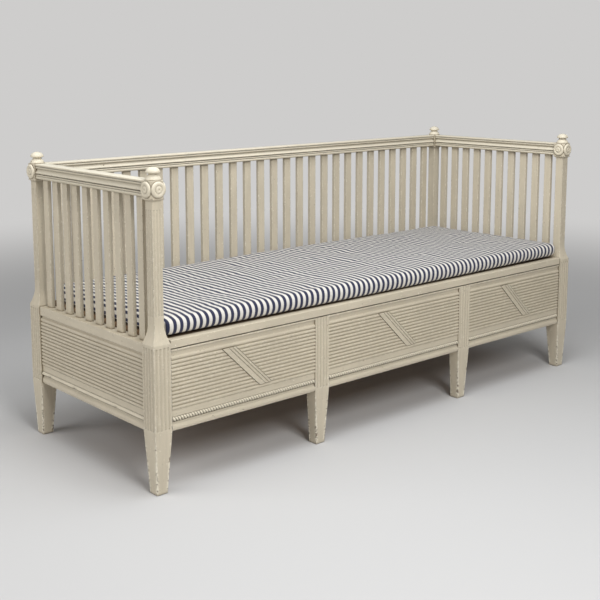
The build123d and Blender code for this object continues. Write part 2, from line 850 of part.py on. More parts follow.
# seat lid
lid_half = between_x - lid_play
rail_back = front_y + lid_rail_thick
lid_back = slats_y - lid_back_play
with BuildPart() as lid_front_rail:
    with Locations((0, front_y + lid_rail_thick / 2, lid_top - lid_rail_height / 2)):
        Box(2 * lid_half, lid_rail_thick, lid_rail_height)
    front_edges = lid_front_rail.edges().filter_by(Axis.X).group_by(Axis.Y)[0]
    fillet(front_edges.sort_by(Axis.Z)[-1], 2.0)
save(lid_front_rail, "lid_front_rail")

board_width = (lid_back - rail_back) / lid_boards
with BuildPart() as lid_planks:
    for n in range(lid_boards):
        plank_y = rail_back + (n + 0.5) * board_width
        with Locations((0, plank_y, lid_top - lid_board_thick / 2)):
            Box(2 * lid_half, board_width - 0.2, lid_board_thick)
save(lid_planks, "lid_boards")

batten_front = rail_back + batten_end_gap
batten_back = lid_back - 2
outer_batten = lid_half - batten_width / 2
with BuildPart() as lid_battens:
    for x in (-outer_batten, -outer_batten / 2, 0, outer_batten / 2, outer_batten):
        with Locations((x, (batten_front + batten_back) / 2, batten_bottom + batten_thick / 2)):
            Box(batten_width, batten_back - batten_front, batten_thick)
save(lid_battens, "lid_battens")

# mattress
with BuildPart() as mattress:
    mattress_front = front_y + mattress_overhang
    with BuildSketch(Plane.XY.offset(lid_top + soft_gap)) as filling:
        with Locations((0, mattress_front + mattress_depth / 2)):
            Rectangle(mattress_length, mattress_depth)
        chamfer(filling.vertices(), mattress_corner)
    extrude(amount=mattress_thick)
    rims = mattress.edges().group_by(Axis.Z)
    chamfer(rims[0] + rims[-1], mattress_edge)
save(mattress, "mattress")
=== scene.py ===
# %% [markdown]
# # A painted pull-out bench bed
#
# This notebook dresses a Gustavian pull-out sofa: a slatted bench whose reeded front slides out as a
# bed. The joiner's solids come from the CAD model, which is loaded first and fixes every place and size.
# Each cell below makes one piece or one finish, and says why it is made that way. Everything is in
# metres, +X runs along the bench, -Y is its open front and +Z is up.

# %% Load the CAD model as a fixed frame
from math import radians

import bpy
from mathutils import Matrix, Vector, noise


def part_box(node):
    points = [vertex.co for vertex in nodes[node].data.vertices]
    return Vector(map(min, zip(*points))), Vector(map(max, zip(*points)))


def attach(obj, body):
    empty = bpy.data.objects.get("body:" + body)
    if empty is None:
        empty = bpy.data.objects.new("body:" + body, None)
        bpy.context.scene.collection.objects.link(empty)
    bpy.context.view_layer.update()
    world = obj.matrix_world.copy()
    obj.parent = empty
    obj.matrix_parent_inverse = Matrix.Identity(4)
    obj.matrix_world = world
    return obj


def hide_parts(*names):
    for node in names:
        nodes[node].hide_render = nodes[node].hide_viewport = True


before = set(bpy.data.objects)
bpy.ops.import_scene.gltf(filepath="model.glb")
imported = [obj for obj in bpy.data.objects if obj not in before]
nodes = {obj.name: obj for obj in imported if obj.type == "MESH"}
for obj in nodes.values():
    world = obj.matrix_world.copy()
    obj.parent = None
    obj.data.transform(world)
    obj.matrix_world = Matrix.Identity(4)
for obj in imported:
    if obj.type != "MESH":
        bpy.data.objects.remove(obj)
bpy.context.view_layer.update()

mm = 0.001

# %% [markdown]
# ## The camera
#
# The camera stands at chest height off the left front corner, with a moderately long lens, so the
# uprights stay nearly parallel. A small lens shift keeps the bench in the frame; tilting the camera
# down instead would make the posts lean.

# %% Place the camera
camera_data = bpy.data.cameras.new("camera")
camera = bpy.data.objects.new("camera", camera_data)
bpy.context.scene.collection.objects.link(camera)
camera.location = (-2.58387, -2.72591, 1.22613)
camera.rotation_euler = (radians(81.678), radians(0.182), radians(-40.833))
camera_data.sensor_width = 36
camera_data.lens = 62.786
camera_data.shift_x = 0.0367
camera_data.shift_y = -0.1417
bpy.context.scene.camera = camera
print("camera", round(camera.location.length, 2), "m from the middle of the bench")

# %% [markdown]
# ## Helpers for materials
#
# Every finish here is built from nodes. An image of worn paint or wood would fit one board only, while
# nodes follow the edges and corners of any piece. Adding and wiring each node takes many lines, so these
# helpers do it, and the recipes below read as short lists of what happens to the paint, wood or cloth.


# %% Helpers that add a node or start a tree
def add(tree, kind, inputs=None, **settings):
    """Adds a node to a tree; inputs maps a socket to a value or to another node's output."""
    node = tree.nodes.new("ShaderNode" + kind)
    for key, value in settings.items():
        setattr(node, key, value)
    for key, value in (inputs or {}).items():
        if isinstance(value, bpy.types.NodeSocket):
            tree.links.new(value, node.inputs[key])
        else:
            node.inputs[key].default_value = value
    return node


def group(name, inputs, outputs):
    """Starts a shader node group with named sockets: (name, kind, default) in, (name, kind) out."""
    tree = bpy.data.node_groups.new(name, "ShaderNodeTree")
    for label, kind, default in inputs:
        socket = tree.interface.new_socket(label, in_out="INPUT", socket_type="NodeSocket" + kind)
        socket.default_value = default
    for label, kind in outputs:
        tree.interface.new_socket(label, in_out="OUTPUT", socket_type="NodeSocket" + kind)
    return tree, tree.nodes.new("NodeGroupInput"), tree.nodes.new("NodeGroupOutput")


def material(name):
    """Starts a material and returns it with its tree and its Principled BSDF."""
    made = bpy.data.materials.new(name)
    made.use_nodes = True
    return made, made.node_tree, made.node_tree.nodes["Principled BSDF"]


def colour(red, green, blue):
    """An sRGB colour from 0 to 255 as Blender's linear values."""
    return (*[((v / 255 + 0.055) / 1.055) ** 2.4 for v in (red, green, blue)], 1.0)


# %% Helpers that return one node's result
def maths(tree, operation, *values, **settings):
    """Works on numbers or outputs with one Math node."""
    return add(tree, "Math", dict(enumerate(values)), operation=operation, **settings).outputs[0]


def spread(tree, value, start, stop, low=0.0, high=1.0, **settings):
    """Spreads start to stop of a value over low to high, and stays flat beyond both."""
    ends = {"Value": value, "From Min": start, "From Max": stop, "To Min": low, "To Max": high}
    return add(tree, "MapRange", ends, **settings).outputs[0]


def scaled(tree, vector, factor):
    """Multiplies a colour or a vector by a number."""
    return add(tree, "VectorMath", {0: vector, "Scale": factor}, operation="SCALE").outputs[0]


def mixed(tree, factor, first, second):
    """Goes from the first colour to the second as the factor goes from 0 to 1."""
    return add(tree, "Mix", {"Factor": factor, 6: first, 7: second}, data_type="RGBA").outputs[2]


def speckle(tree, place, scale, detail, roughness=0.5):
    """Noise from 0 to 1 with about scale cells to the metre."""
    settings = {"Vector": place, "Scale": scale, "Detail": detail, "Roughness": roughness}
    return add(tree, "TexNoise", settings).outputs["Fac"]


def shut_in(tree, distance, samples):
    """Ambient Occlusion: 1 on an open face, less where other wood stands within the distance."""
    return add(tree, "AmbientOcclusion", {"Distance": distance}, samples=samples).outputs["AO"]


def agreement(tree, rounded, flat):
    """How far a rounded normal agrees with the true one: 1 on a flat face, less near an edge."""
    return add(tree, "VectorMath", {0: rounded, 1: flat}, operation="DOT_PRODUCT").outputs["Value"]


# %% [markdown]
# ## Old paint
#
# The bench has been painted with oil paint in a warm pearl grey and rubbed by two centuries of use. Four
# things make such paint look old: the edges are rubbed through to a paler ground, flakes are missing,
# most of them low on the legs where shoes kick, hands have worn what faces up, and dirt stays in the
# quirks. The group paints light and shade as well: what faces up is made paler, as painted top light,
# and corners and quirks are made darker, as painted shade on top of the dirt. Each could be painted on as
# an image, but nodes find these places by themselves on any piece. Bevel's rounded normal differs from
# the true one near an edge, which finds the rubbed places, and Ambient Occlusion finds the quirks. The
# group is made once, and each finish sets its own amounts.

# %% The old paint group and its noises
paint, group_in, group_out = group(
    "old_paint",
    [
        ("Paint", "Color", colour(203, 192, 170)),
        ("Ground", "Color", colour(241, 234, 216)),
        # The dirt colour is also the colour of the painted shade in corners and quirks.
        ("Dirt", "Color", colour(112, 98, 74)),
        ("Grain", "Vector", (1.0, 1.0, 1.0)),
        ("Wear", "Float", 1.0),
        ("Handled", "Float", 0.0),
        ("Shallow", "Float", 0.90),
        ("Deep", "Float", 0.45),
    ],
    [("Color", "Color"), ("Roughness", "Float"), ("Normal", "Vector")],
)
given = group_in.outputs
place = add(paint, "TexCoord").outputs["Object"]
along = add(paint, "VectorMath", {0: place, 1: given["Grain"]}, operation="MULTIPLY").outputs[0]
strokes = speckle(paint, along, 120, 6, 0.6)
clouds = speckle(paint, place, 5, 5, 0.62)
chips = speckle(paint, place, 85, 8, 0.72)
specks = speckle(paint, place, 150, 3, 0.6)
print("old paint group started with", len(given) - 1, "settings")

# %% Rubbed edges, more of them near the floor
rounded = add(paint, "Bevel", {"Radius": 2.8 * mm}, samples=8).outputs[0]
flat = add(paint, "NewGeometry").outputs["Normal"]
edge = spread(paint, agreement(paint, rounded, flat), 0.99, 0.86)
level = add(paint, "SeparateXYZ", {"Vector": place}).outputs["Z"]
kicked = spread(paint, level, 240 * mm, 20 * mm, high=0.21)
worn_more = maths(paint, "ADD", chips, kicked)
ragged = spread(paint, worn_more, 0.49, 0.55)
rubbed = maths(paint, "MULTIPLY", edge, ragged)
rubbed = maths(paint, "MULTIPLY", rubbed, given["Wear"])
print("with rubbed edges the group has", len(paint.nodes), "nodes")

# %% Flakes missing beside the edges, on open faces only
corner = shut_in(paint, 12 * mm, 8)
proud = spread(paint, corner, 0.93, 0.99)
flake_reach = maths(paint, "MULTIPLY_ADD", kicked, 40 * mm, 7 * mm)
wide = add(paint, "Bevel", {"Radius": flake_reach}, samples=6).outputs[0]
near_edge = spread(paint, agreement(paint, wide, flat), 0.998, 0.95)
flaking = spread(paint, worn_more, 0.60, 0.625)
flaked = maths(paint, "MULTIPLY", near_edge, flaking)
flaked = maths(paint, "MULTIPLY", flaked, proud)
print("with flakes it has", len(paint.nodes))

# %% All the places where the paint is lost: rubbed, flaked, nicked, or stroked on top by hands; the paler tops are also painted top light
nicks = spread(paint, specks, 0.69, 0.72)
chipped = maths(paint, "MAXIMUM", flaked, nicks)
# Faces that look up get the paler ground by the finish's handling amount: partly hand wear, partly a
# painted highlight of the light from above.
up = add(paint, "SeparateXYZ", {"Vector": flat}).outputs["Z"]
upward = spread(paint, up, 0.2, 0.8)
stroked_and_top_lit = maths(paint, "MULTIPLY", upward, given["Handled"])
chipped = maths(paint, "MAXIMUM", chipped, stroked_and_top_lit)
lost = maths(paint, "MAXIMUM", rubbed, chipped, use_clamp=True)
print("with all lost places it has", len(paint.nodes))

# %% Dirt and painted shade in the corners and, blacker, in the narrow quirks
# Ambient Occlusion darkens corners and quirks towards the dirt colour: partly real dirt, partly painted
# shade.
corner_dirt_and_shade = spread(paint, corner, 0.88, 0.30, high=0.8)
quirk = shut_in(paint, 5 * mm, 8)
quirk_dirt_and_shade = spread(paint, quirk, given["Shallow"], given["Deep"])
dirt_and_shade = maths(paint, "MAXIMUM", corner_dirt_and_shade, quirk_dirt_and_shade)
patchy = spread(paint, clouds, 0.3, 0.7, 0.62, 0.92)
soiled_and_shaded = maths(paint, "MULTIPLY", dirt_and_shade, patchy)
print("with dirt it has", len(paint.nodes))

# %% The coat, uneven along the brush strokes, with its wear, dirt and dark pits
tone = spread(paint, clouds, 0.3, 0.7, 0.92, 1.05)
stroke_tone = spread(paint, strokes, 0.3, 0.7, 0.94, 1.04)
coat = scaled(paint, given["Paint"], maths(paint, "MULTIPLY", tone, stroke_tone))
worn = mixed(paint, lost, coat, given["Ground"])
dirty_and_shaded = mixed(paint, soiled_and_shaded, worn, given["Dirt"])
bare = maths(paint, "MULTIPLY", spread(paint, specks, 0.545, 0.565), flaked)
pits = spread(paint, specks, 0.30, 0.27)
dark_spots = maths(paint, "MAXIMUM", pits, bare)
bare_wood = colour(104, 82, 58)
pitted = mixed(paint, dark_spots, dirty_and_shaded, bare_wood)

# %% Satin where the paint is whole, matt where it is lost, and a step down into each chip
gloss = spread(paint, lost, 0.0, 1.0, 0.50, 0.75)
film = maths(paint, "SUBTRACT", strokes, lost)
relief = add(
    paint, "Bump", {"Strength": 0.45, "Distance": 0.8 * mm, "Height": film, "Normal": rounded}
)
paint.links.new(pitted, group_out.inputs["Color"])
paint.links.new(gloss, group_out.inputs["Roughness"])
paint.links.new(relief.outputs[0], group_out.inputs["Normal"])
print("the finished group has", len(paint.nodes))

# %% [markdown]
# ## The painted finishes
#
# Brush strokes follow the grain, so the rails along the bench, the rails of its ends and the uprights
# need three finishes. Others differ in their history. Hands polish the top rails, the finials and the
# rosettes, whose upward faces are also painted paler as top light; a thin bead or a carved rope loses
# most of its paint, and the slots beside them are painted nearly black as shade. One material with many
# masks could hold all this, but a named finish for each is easier to adjust.


# %% A helper for painted finishes
def painted(name, grain, **settings):
    """Old paint whose strokes run along the axis with the smallest number; settings are group inputs."""
    made, tree, shader = material(name)
    coat_group = tree.nodes.new("ShaderNodeGroup")
    coat_group.node_tree = paint
    coat_group.inputs["Grain"].default_value = grain
    for label, value in settings.items():
        coat_group.inputs[label].default_value = value
    tree.links.new(coat_group.outputs["Color"], shader.inputs["Base Color"])
    tree.links.new(coat_group.outputs["Roughness"], shader.inputs["Roughness"])
    tree.links.new(coat_group.outputs["Normal"], shader.inputs["Normal"])
    return made


grain_x, grain_y, grain_z = (0.06, 1.0, 1.0), (1.0, 0.06, 1.0), (1.0, 1.0, 0.06)
paint_x = painted("paint_along_x", grain_x)
paint_y = painted("paint_along_y", grain_y)
# Along Z the quirk mask starts earlier, so even shallow flutes darken, and the reeds' grooves darken too:
# painted shade, with some dirt.
paint_z = painted("paint_along_z", grain_z, Shallow=0.975, Deep=0.66)
reeded_paint = painted("paint_reeded", grain_x, Dirt=colour(136, 122, 96), Shallow=0.86, Deep=0.40)

# %% Finishes for what hands touch, whose upward faces are also painted paler as top light
touched_top_lit_paint = painted(
    "paint_touched_top_lit", (1.0, 1.0, 0.3), Wear=1.2, Handled=0.35,
    Paint=colour(216, 206, 184), Dirt=colour(118, 104, 80),
)
handled_and_top_lit = {"Wear": 1.3, "Handled": 0.6, "Paint": colour(206, 196, 174), "Dirt": colour(94, 82, 62)}
handled_top_lit_x = painted("paint_handled_top_lit_x", grain_x, **handled_and_top_lit)
handled_top_lit_y = painted("paint_handled_top_lit_y", grain_y, **handled_and_top_lit)

# %% Finishes for thin carved work and the slots beside it, whose slots get painted shade
# A darker dirt colour and a wider reach of the quirk mask paint the slots nearly black: painted shadow,
# with some dirt.
slot_dirt_and_shade = {"Dirt": colour(70, 60, 44), "Shallow": 0.98, "Deep": 0.72}
slotted_x = painted("paint_slotted_x", grain_x, **slot_dirt_and_shade)
slotted_y = painted("paint_slotted_y", grain_y, **slot_dirt_and_shade)
beaded_paint = painted("paint_beaded", grain_y, Wear=1.5, Paint=colour(214, 204, 182), **slot_dirt_and_shade)
rubbed_paint = painted(
    "paint_rubbed", (1.0, 1.0, 1.0), Wear=1.5, Paint=colour(228, 219, 198), Dirt=colour(134, 121, 96)
)
print("painted finishes", sum(made.name.startswith("paint_") for made in bpy.data.materials))

# %% [markdown]
# ## Bare pine inside the box
#
# What the lid hides was never painted. Old pine is honey brown, with darker growth rings that show as
# long stripes on a sawn board. A wave texture would draw them too evenly, so they are noise, stretched
# along the board and bent a little by a second noise. Where two boards meet, or anything stands close,
# Ambient Occlusion darkens the wood: partly dust, partly painted shade.


# %% The bare pine finish
def pine(name, grain):
    """Old unpainted pine whose boards run along the axis with the smallest number."""
    made, tree, shader = material(name)
    place = add(tree, "TexCoord").outputs["Object"]
    along = add(tree, "VectorMath", {0: place, 1: grain}, operation="MULTIPLY").outputs[0]
    wander = add(tree, "TexNoise", {"Vector": along, "Scale": 9, "Detail": 3}).outputs["Color"]
    bent = add(tree, "VectorMath", {0: along, 1: scaled(tree, wander, 0.12)}, operation="ADD").outputs[0]
    rings = speckle(tree, bent, 55, 3)
    wood = mixed(tree, spread(tree, rings, 0.42, 0.6), colour(176, 144, 106), colour(142, 108, 74))
    # Ambient Occlusion within 30 mm darkens the wood: partly dust, partly painted shade.
    dust_and_shade = spread(tree, shut_in(tree, 30 * mm, 6), 0.85, 0.3, high=0.85)
    dusty_and_shaded = mixed(tree, dust_and_shade, wood, colour(62, 50, 38))
    tree.links.new(dusty_and_shaded, shader.inputs["Base Color"])
    shader.inputs["Roughness"].default_value = 0.7
    relief = add(tree, "Bump", {"Strength": 0.3, "Distance": 0.5 * mm, "Height": rings})
    tree.links.new(relief.outputs["Normal"], shader.inputs["Normal"])
    return made


pine_x = pine("pine_along_x", (0.04, 1.0, 1.0))
pine_y = pine("pine_along_y", (1.0, 0.04, 1.0))
print("pine finishes", pine_x.name, pine_y.name)

# %% [markdown]
# ## Ticking
#
# The mattress is covered in striped cotton ticking. The stripes are woven, so their edges are crisp, and
# the weave is finer than a millimetre. Stripes could be cut from Object coordinates, but cloth carries
# its stripes with it over every dent and round every edge. They are read from an attribute of the
# mattress instead, across, which says how far along the cloth each point lies.

# %% The stripes, from the place along the cloth
ticking, tree, shader = material("striped_ticking")
stripe_period = 23.1 * mm
across = add(tree, "Attribute", attribute_name="across").outputs["Fac"]
count = maths(tree, "MULTIPLY", across, 1 / stripe_period)
phase = maths(tree, "FLOORED_MODULO", count, 1.0)
from_centre = maths(tree, "ABSOLUTE", maths(tree, "SUBTRACT", phase, 0.5))
white = spread(tree, from_centre, 0.23, 0.27)
cloth = mixed(tree, white, colour(40, 43, 70), colour(222, 218, 210))

# %% The threads
place = add(tree, "TexCoord").outputs["Object"]
threads = speckle(tree, place, 900, 2)
faded = scaled(tree, cloth, spread(tree, threads, 0.0, 1.0, 0.86, 1.12))
tree.links.new(faded, shader.inputs["Base Color"])
shader.inputs["Roughness"].default_value = 0.9
shader.inputs["Sheen Weight"].default_value = 0.15
relief = add(tree, "Bump", {"Strength": 0.4, "Distance": 0.6 * mm, "Height": threads})
tree.links.new(relief.outputs["Normal"], shader.inputs["Normal"])
print("ticking", round(stripe_period / mm, 1), "mm from stripe to stripe")

# %% [markdown]
# ## Who wears which finish
#
# The grain of a post or a slat runs up, that of the long rails along X and that of the ends' rails
# along Y, so each node gets the finish of its own direction. Naming a finish for each of the nodes would
# make a long list. Their names begin alike for pieces of one kind, so a few beginnings are enough.

# %% Give each CAD node its finish: the first row that fits its name counts
wearers = [
    (ticking, ["mattress"]),
    (pine_x, ["lid_boards", "lid_ledger_back", "bed_bearer", "fixed_cross_bar", "front_slat", "bed_rear"]),
    (pine_y, ["lid_battens", "lid_ledger", "runner", "bed_side", "bed_slats"]),
    (paint_z, ["post_", "slats_", "middle_leg", "finials", "rosettes"]),
    (slotted_y, ["lower_rail_left", "lower_rail_right"]),
    (slotted_x, ["front_lower_rails", "rope_mouldings"]),
    (paint_y, ["seat_rail_left", "seat_rail_right", "panel_left", "panel_right"]),
    (reeded_paint, ["bay_panel"]),
    (paint_x, [""]),
]
for name, node in nodes.items():
    finish = next(finish for finish, starts in wearers if name.startswith(tuple(starts)))
    node.data.materials.clear()
    node.data.materials.append(finish)
print("dressed", len(nodes), "nodes in", len(wearers), "finishes")

# %% [markdown]
# ## Helpers for modelling by hand
#
# The pieces below are modelled as at the workbench: a simple start, then edit-mode tools. Their meshes
# could be written out point by point, but then nobody could follow the steps. These helpers open a new
# primitive alone in edit mode, close it again, and put finished pieces in their places.


# %% Helpers for edit mode
def only(piece):
    """Selects one object alone and makes it active."""
    bpy.ops.object.select_all(action="DESELECT")
    piece.select_set(True)
    bpy.context.view_layer.objects.active = piece


def open_new(name):
    """Names the primitive just added and opens it in edit mode with everything selected."""
    piece = bpy.context.object
    piece.name = piece.data.name = name
    only(piece)
    bpy.ops.object.mode_set(mode="EDIT")
    bpy.ops.mesh.select_all(action="SELECT")
    return piece


def choose_edges(piece, wanted):
    """Selects, in edit mode, the edges whose two ends satisfy a test."""
    bpy.ops.mesh.select_all(action="DESELECT")
    bpy.ops.object.mode_set(mode="OBJECT")
    points = piece.data.vertices
    for edge in piece.data.edges:
        edge.select = wanted(*(points[i].co for i in edge.vertices))
    bpy.ops.object.mode_set(mode="EDIT")


def raise_through(profile, squeeze, hold_y=0):
    """Extrudes the selected face up a profile of (size, height) in mm, and resizes it at each height.

    squeeze turns the ratio of two sizes into the resize of X, Y and Z; hold_y is the Y that stays.
    """
    for (size, level), (next_size, next_level) in zip(profile, profile[1:]):
        rise = (next_level - level) * mm
        bpy.ops.mesh.extrude_region_move(TRANSFORM_OT_translate={"value": (0, 0, rise)})
        fixed = (0, hold_y, next_level * mm)
        bpy.ops.transform.resize(value=squeeze(next_size / size), center_override=fixed)


def close(piece, smooth=40):
    """Turns all normals outwards, leaves edit mode and shades the piece smooth below an angle."""
    bpy.ops.mesh.select_all(action="SELECT")
    bpy.ops.mesh.remove_doubles(threshold=0.01 * mm)
    bpy.ops.mesh.normals_make_consistent(inside=False)
    bpy.ops.object.mode_set(mode="OBJECT")
    bpy.ops.object.shade_smooth_by_angle(angle=radians(smooth))
    print(piece.name, len(piece.data.polygons), "faces")
    return piece


# %% A helper that sets finished pieces out
def set_out(piece, places, name):
    """Copies a modelled piece to each place, joins the copies into one piece and removes the first."""
    copies = []
    for place in places:
        twin = bpy.data.objects.new(name, piece.data.copy())
        bpy.context.scene.collection.objects.link(twin)
        twin.data.transform(place)
        copies.append(twin)
    bpy.ops.object.select_all(action="DESELECT")
    for twin in copies:
        twin.select_set(True)
    joined = bpy.context.view_layer.objects.active = copies[0]
    if len(copies) > 1:
        bpy.ops.object.join()
    joined.name = joined.data.name = name
    bpy.data.objects.remove(piece)
    print(name, len(places), "placed,", len(joined.data.polygons), "faces")
    return joined


# %% [markdown]
# ## Turned finials and rosettes
#
# Both are lathe work. A turner works from a profile, and so does this helper: it starts from a flat disc
# and extrudes its face from one ring of the profile to the next, resizing it each time. A spun outline
# would give the same shape, but here each step reads as a radius and a height, as on a turner's drawing.


# %% The turner's helper
def turn(name, profile, sides=40):
    """A turned piece on the floor, from a profile of (radius, height) in millimetres."""
    bpy.ops.mesh.primitive_circle_add(vertices=sides, radius=profile[0][0] * mm, fill_type="NGON")
    piece = open_new(name)
    raise_through(profile, lambda ratio: (ratio, ratio, 1))
    return close(piece)


# %% Four finials on the corner cubes
finial = turn("finial", [
    (22.4, 0), (22.9, 1.2), (22.3, 4.0), (20.6, 7.2), (18.2, 10.4), (15.8, 13.2), (14.0, 15.4),
    (13.2, 17.2), (13.6, 18.4), (15.8, 19.2), (18.8, 20.0), (20.4, 21.2), (20.9, 22.8), (20.4, 25.4),
    (18.7, 28.6), (16.0, 31.8), (11.8, 34.5), (6.8, 36.2), (3.0, 36.9), (0.6, 37.0),
])
corners = ("front_left", "front_right", "back_left", "back_right")
posts = [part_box("post_" + corner) for corner in corners]
axes = [((low[0] + high[0]) / 2, (low[1] + high[1]) / 2) for low, high in posts]
cube_top = posts[0][1][2]
finials = set_out(finial, [Matrix.Translation((x, y, cube_top)) for x, y in axes], "finials_turned")

# %% Ten rosettes on the free faces of the corner cubes
rosette = turn("rosette", [
    (22.8, 0), (23.0, 1.4), (22.4, 3.4), (20.8, 5.2), (18.4, 6.2), (15.8, 6.4), (13.8, 6.0), (12.3, 5.2),
    (11.6, 4.5), (11.1, 4.4), (10.4, 5.2), (9.0, 6.4), (6.8, 7.0), (4.4, 7.1), (3.0, 6.6), (1.9, 5.6),
    (0.5, 5.2),
])
half_cube = 23 * mm
rosettes_low, rosettes_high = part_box("rosettes")
rosette_level = (rosettes_low[2] + rosettes_high[2]) / 2
seats = []
for x, y in axes:
    out_x, out_y = (1 if x > 0 else -1), (1 if y > 0 else -1)
    facing = [(out_x, 0), (0, out_y)] + ([(-out_x, 0)] if y < 0 else [])
    for face_x, face_y in facing:
        centre = Vector((x + face_x * half_cube, y + face_y * half_cube, rosette_level))
        turned_out = Vector((face_x, face_y, 0)).to_track_quat("Z", "Y").to_matrix().to_4x4()
        seats.append(Matrix.Translation(centre) @ turned_out)
rosettes = set_out(rosette, seats, "rosettes_turned")

# %% Paint the turned pieces
for piece, node in ((finials, "finials"), (rosettes, "rosettes")):
    piece.data.materials.append(touched_top_lit_paint)
    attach(piece, "frame")
    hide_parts(node)
print("finials' tops at", round(max(v.co.z for v in finials.data.vertices) / mm), "mm")

# %% [markdown]
# ## The moulded top rails
#
# Three rails close the back and the ends. A joiner runs such a moulding with a plane: a fillet on top,
# then bead and hollow in turn, the same on both sides. It could be drawn as an outline and extruded along,
# but the same steps as on the lathe work here too: a long narrow board is extruded upwards from one level
# of the profile to the next, and resized across only.


# %% The moulding plane's helper
def run_moulding(name, length, profile, flat_back=False):
    """A straight moulding along X, from a profile of (half width, height) in mm; +Y is its back."""
    half, level = profile[0]
    bpy.ops.mesh.primitive_plane_add(size=1)
    piece = open_new(name)
    bpy.ops.transform.resize(value=(length, 2 * half * mm, 1), center_override=(0, 0, 0))
    bpy.ops.transform.translate(value=(0, 0, level * mm))
    raise_through(profile, lambda ratio: (1, ratio, 1), hold_y=half * mm if flat_back else 0)
    return close(piece, 35)


# %% Three top rails, each let a little way into the corner cubes
rail_profile = [
    (14.5, 0), (17.4, 0.6), (19.2, 2.0), (20.0, 4.2), (19.6, 6.6), (18.6, 8.2), (17.5, 8.9), (17.0, 9.6),
    (17.6, 10.3), (18.8, 10.8), (19.6, 12.2), (19.4, 13.8), (18.0, 15.0), (15.6, 15.6), (14.8, 16.4),
    (16.0, 17.2), (19.0, 17.8), (20.0, 18.8), (19.8, 20.4), (18.6, 22.4), (17.0, 24.4), (15.6, 26.6),
    (14.6, 28.8), (13.8, 31.0), (13.6, 32.6), (14.6, 33.6), (17.2, 34.0), (18.9, 35.0), (19.5, 36.8),
    (19.2, 38.6), (18.2, 39.6), (17.2, 40.1), (16.6, 40.6), (17.2, 41.1), (18.6, 41.4), (19.6, 42.4),
    (19.9, 44.4), (19.6, 46.2), (18.8, 47.4), (17.4, 48.0),
]
into_cube = 0.5 * mm
axis_x, axis_y = axes[-1]
for side in ("left", "right", "back"):
    rail_low, rail_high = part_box("top_rail_" + side)
    x, y = (rail_low[0] + rail_high[0]) / 2, (rail_low[1] + rail_high[1]) / 2
    along_x = side == "back"
    half_length = (axis_x if along_x else axis_y) - half_cube + into_cube
    rail = run_moulding("rail", 2 * half_length, rail_profile)
    turned = Matrix() if along_x else Matrix.Rotation(radians(90), 4, "Z")
    placed = Matrix.Translation((x, y, rail_low[2])) @ turned
    rail = set_out(rail, [placed], "top_rail_moulding_" + side)
    rail.data.materials.append(handled_top_lit_x if along_x else handled_top_lit_y)
    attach(rail, "frame")
    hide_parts("top_rail_" + side)

# %% [markdown]
# ## The chipped beads on the ends
#
# A thin bead is planted on each end's lower rail. It overhangs a narrow slot, and two centuries of shoes
# have knocked splinters out of its lower edge. A rough edge could be left to the material alone, but
# splinters this big show in the bead's outline. So it is run like the rails, with a flat back, then cut
# into short lengths of which a few are pushed in, by a noise that wanders along the bead.


# %% A helper for shaping by place
def ramp(value, start, stop):
    """0 at start and 1 at stop, straight in between and flat beyond."""
    return min(1, max(0, (value - start) / (stop - start)))


# %% Two beads, run and then chipped
bead_profile = [
    (1.5, 0), (1.5, 3.8), (4.8, 4.3), (5.25, 5.4), (5.25, 6.8), (5.0, 8.6), (4.4, 10.6), (3.6, 12.4),
    (2.8, 14.2), (2.3, 15.0),
]
short_lengths, chips_to_metre = 150, 38
slot_height, sound_above = 4 * mm, 10 * mm
deepest_chip, chip_slope, break_level = 4.5 * mm, 26 * mm, 0.16
for side, sign in (("left", -1), ("right", 1)):
    bead_low, bead_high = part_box("bead_" + side)
    length = bead_high[1] - bead_low[1]
    bead = run_moulding("bead", length, bead_profile, flat_back=True)
    bpy.ops.object.mode_set(mode="EDIT")
    bpy.ops.mesh.select_mode(type="EDGE")
    choose_edges(bead, lambda a, b: abs(a.x - b.x) > length / 2)
    bpy.ops.mesh.subdivide(number_cuts=short_lengths - 1)
    bpy.ops.object.mode_set(mode="OBJECT")
    for vertex in bead.data.vertices:
        place = vertex.co
        broken = noise.noise(Vector((place.x * chips_to_metre, sign * 3, 0))) - break_level
        if broken > 0 and place.z > slot_height:
            low_edge = ramp(place.z, sound_above, sound_above - 5 * mm)
            place.y += min(deepest_chip, chip_slope * broken) * low_edge
    seat = min(abs(bead_low[0]), abs(bead_high[0])) + bead_profile[0][0] * mm
    turned = Matrix.Rotation(radians(90 * sign), 4, "Z")
    planted = Matrix.Translation((sign * seat, 0, bead_low[2])) @ turned
    bead = set_out(bead, [planted], "chipped_bead_" + side)
    bead.data.materials.append(beaded_paint)
    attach(bead, "frame")
    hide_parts("bead_" + side)

# %% [markdown]
# ## The rope moulding
#
# Above the lower rail of the pull-out front runs a bead carved as a twisted rope. A carver cuts slanting
# grooves at an even pitch, which leaves a row of plump strands. The grooves could be cut into the bead,
# but a strand is easier to shape than a groove: it is a ball pulled long and leaned over. It is modelled
# once and set out along each bay, half sunk in the bead.

# %% One strand
half_width, half_depth, half_long = 3.7 * mm, 4.8 * mm, 8.0 * mm
lean = radians(40)
bpy.ops.mesh.primitive_uv_sphere_add(segments=8, ring_count=6, radius=1)
strand = open_new("strand")
bpy.ops.transform.resize(value=(half_width, half_depth, half_long), center_override=(0, 0, 0))
bpy.ops.transform.rotate(value=lean, orient_axis="Y", center_override=(0, 0, 0))
close(strand, 60)

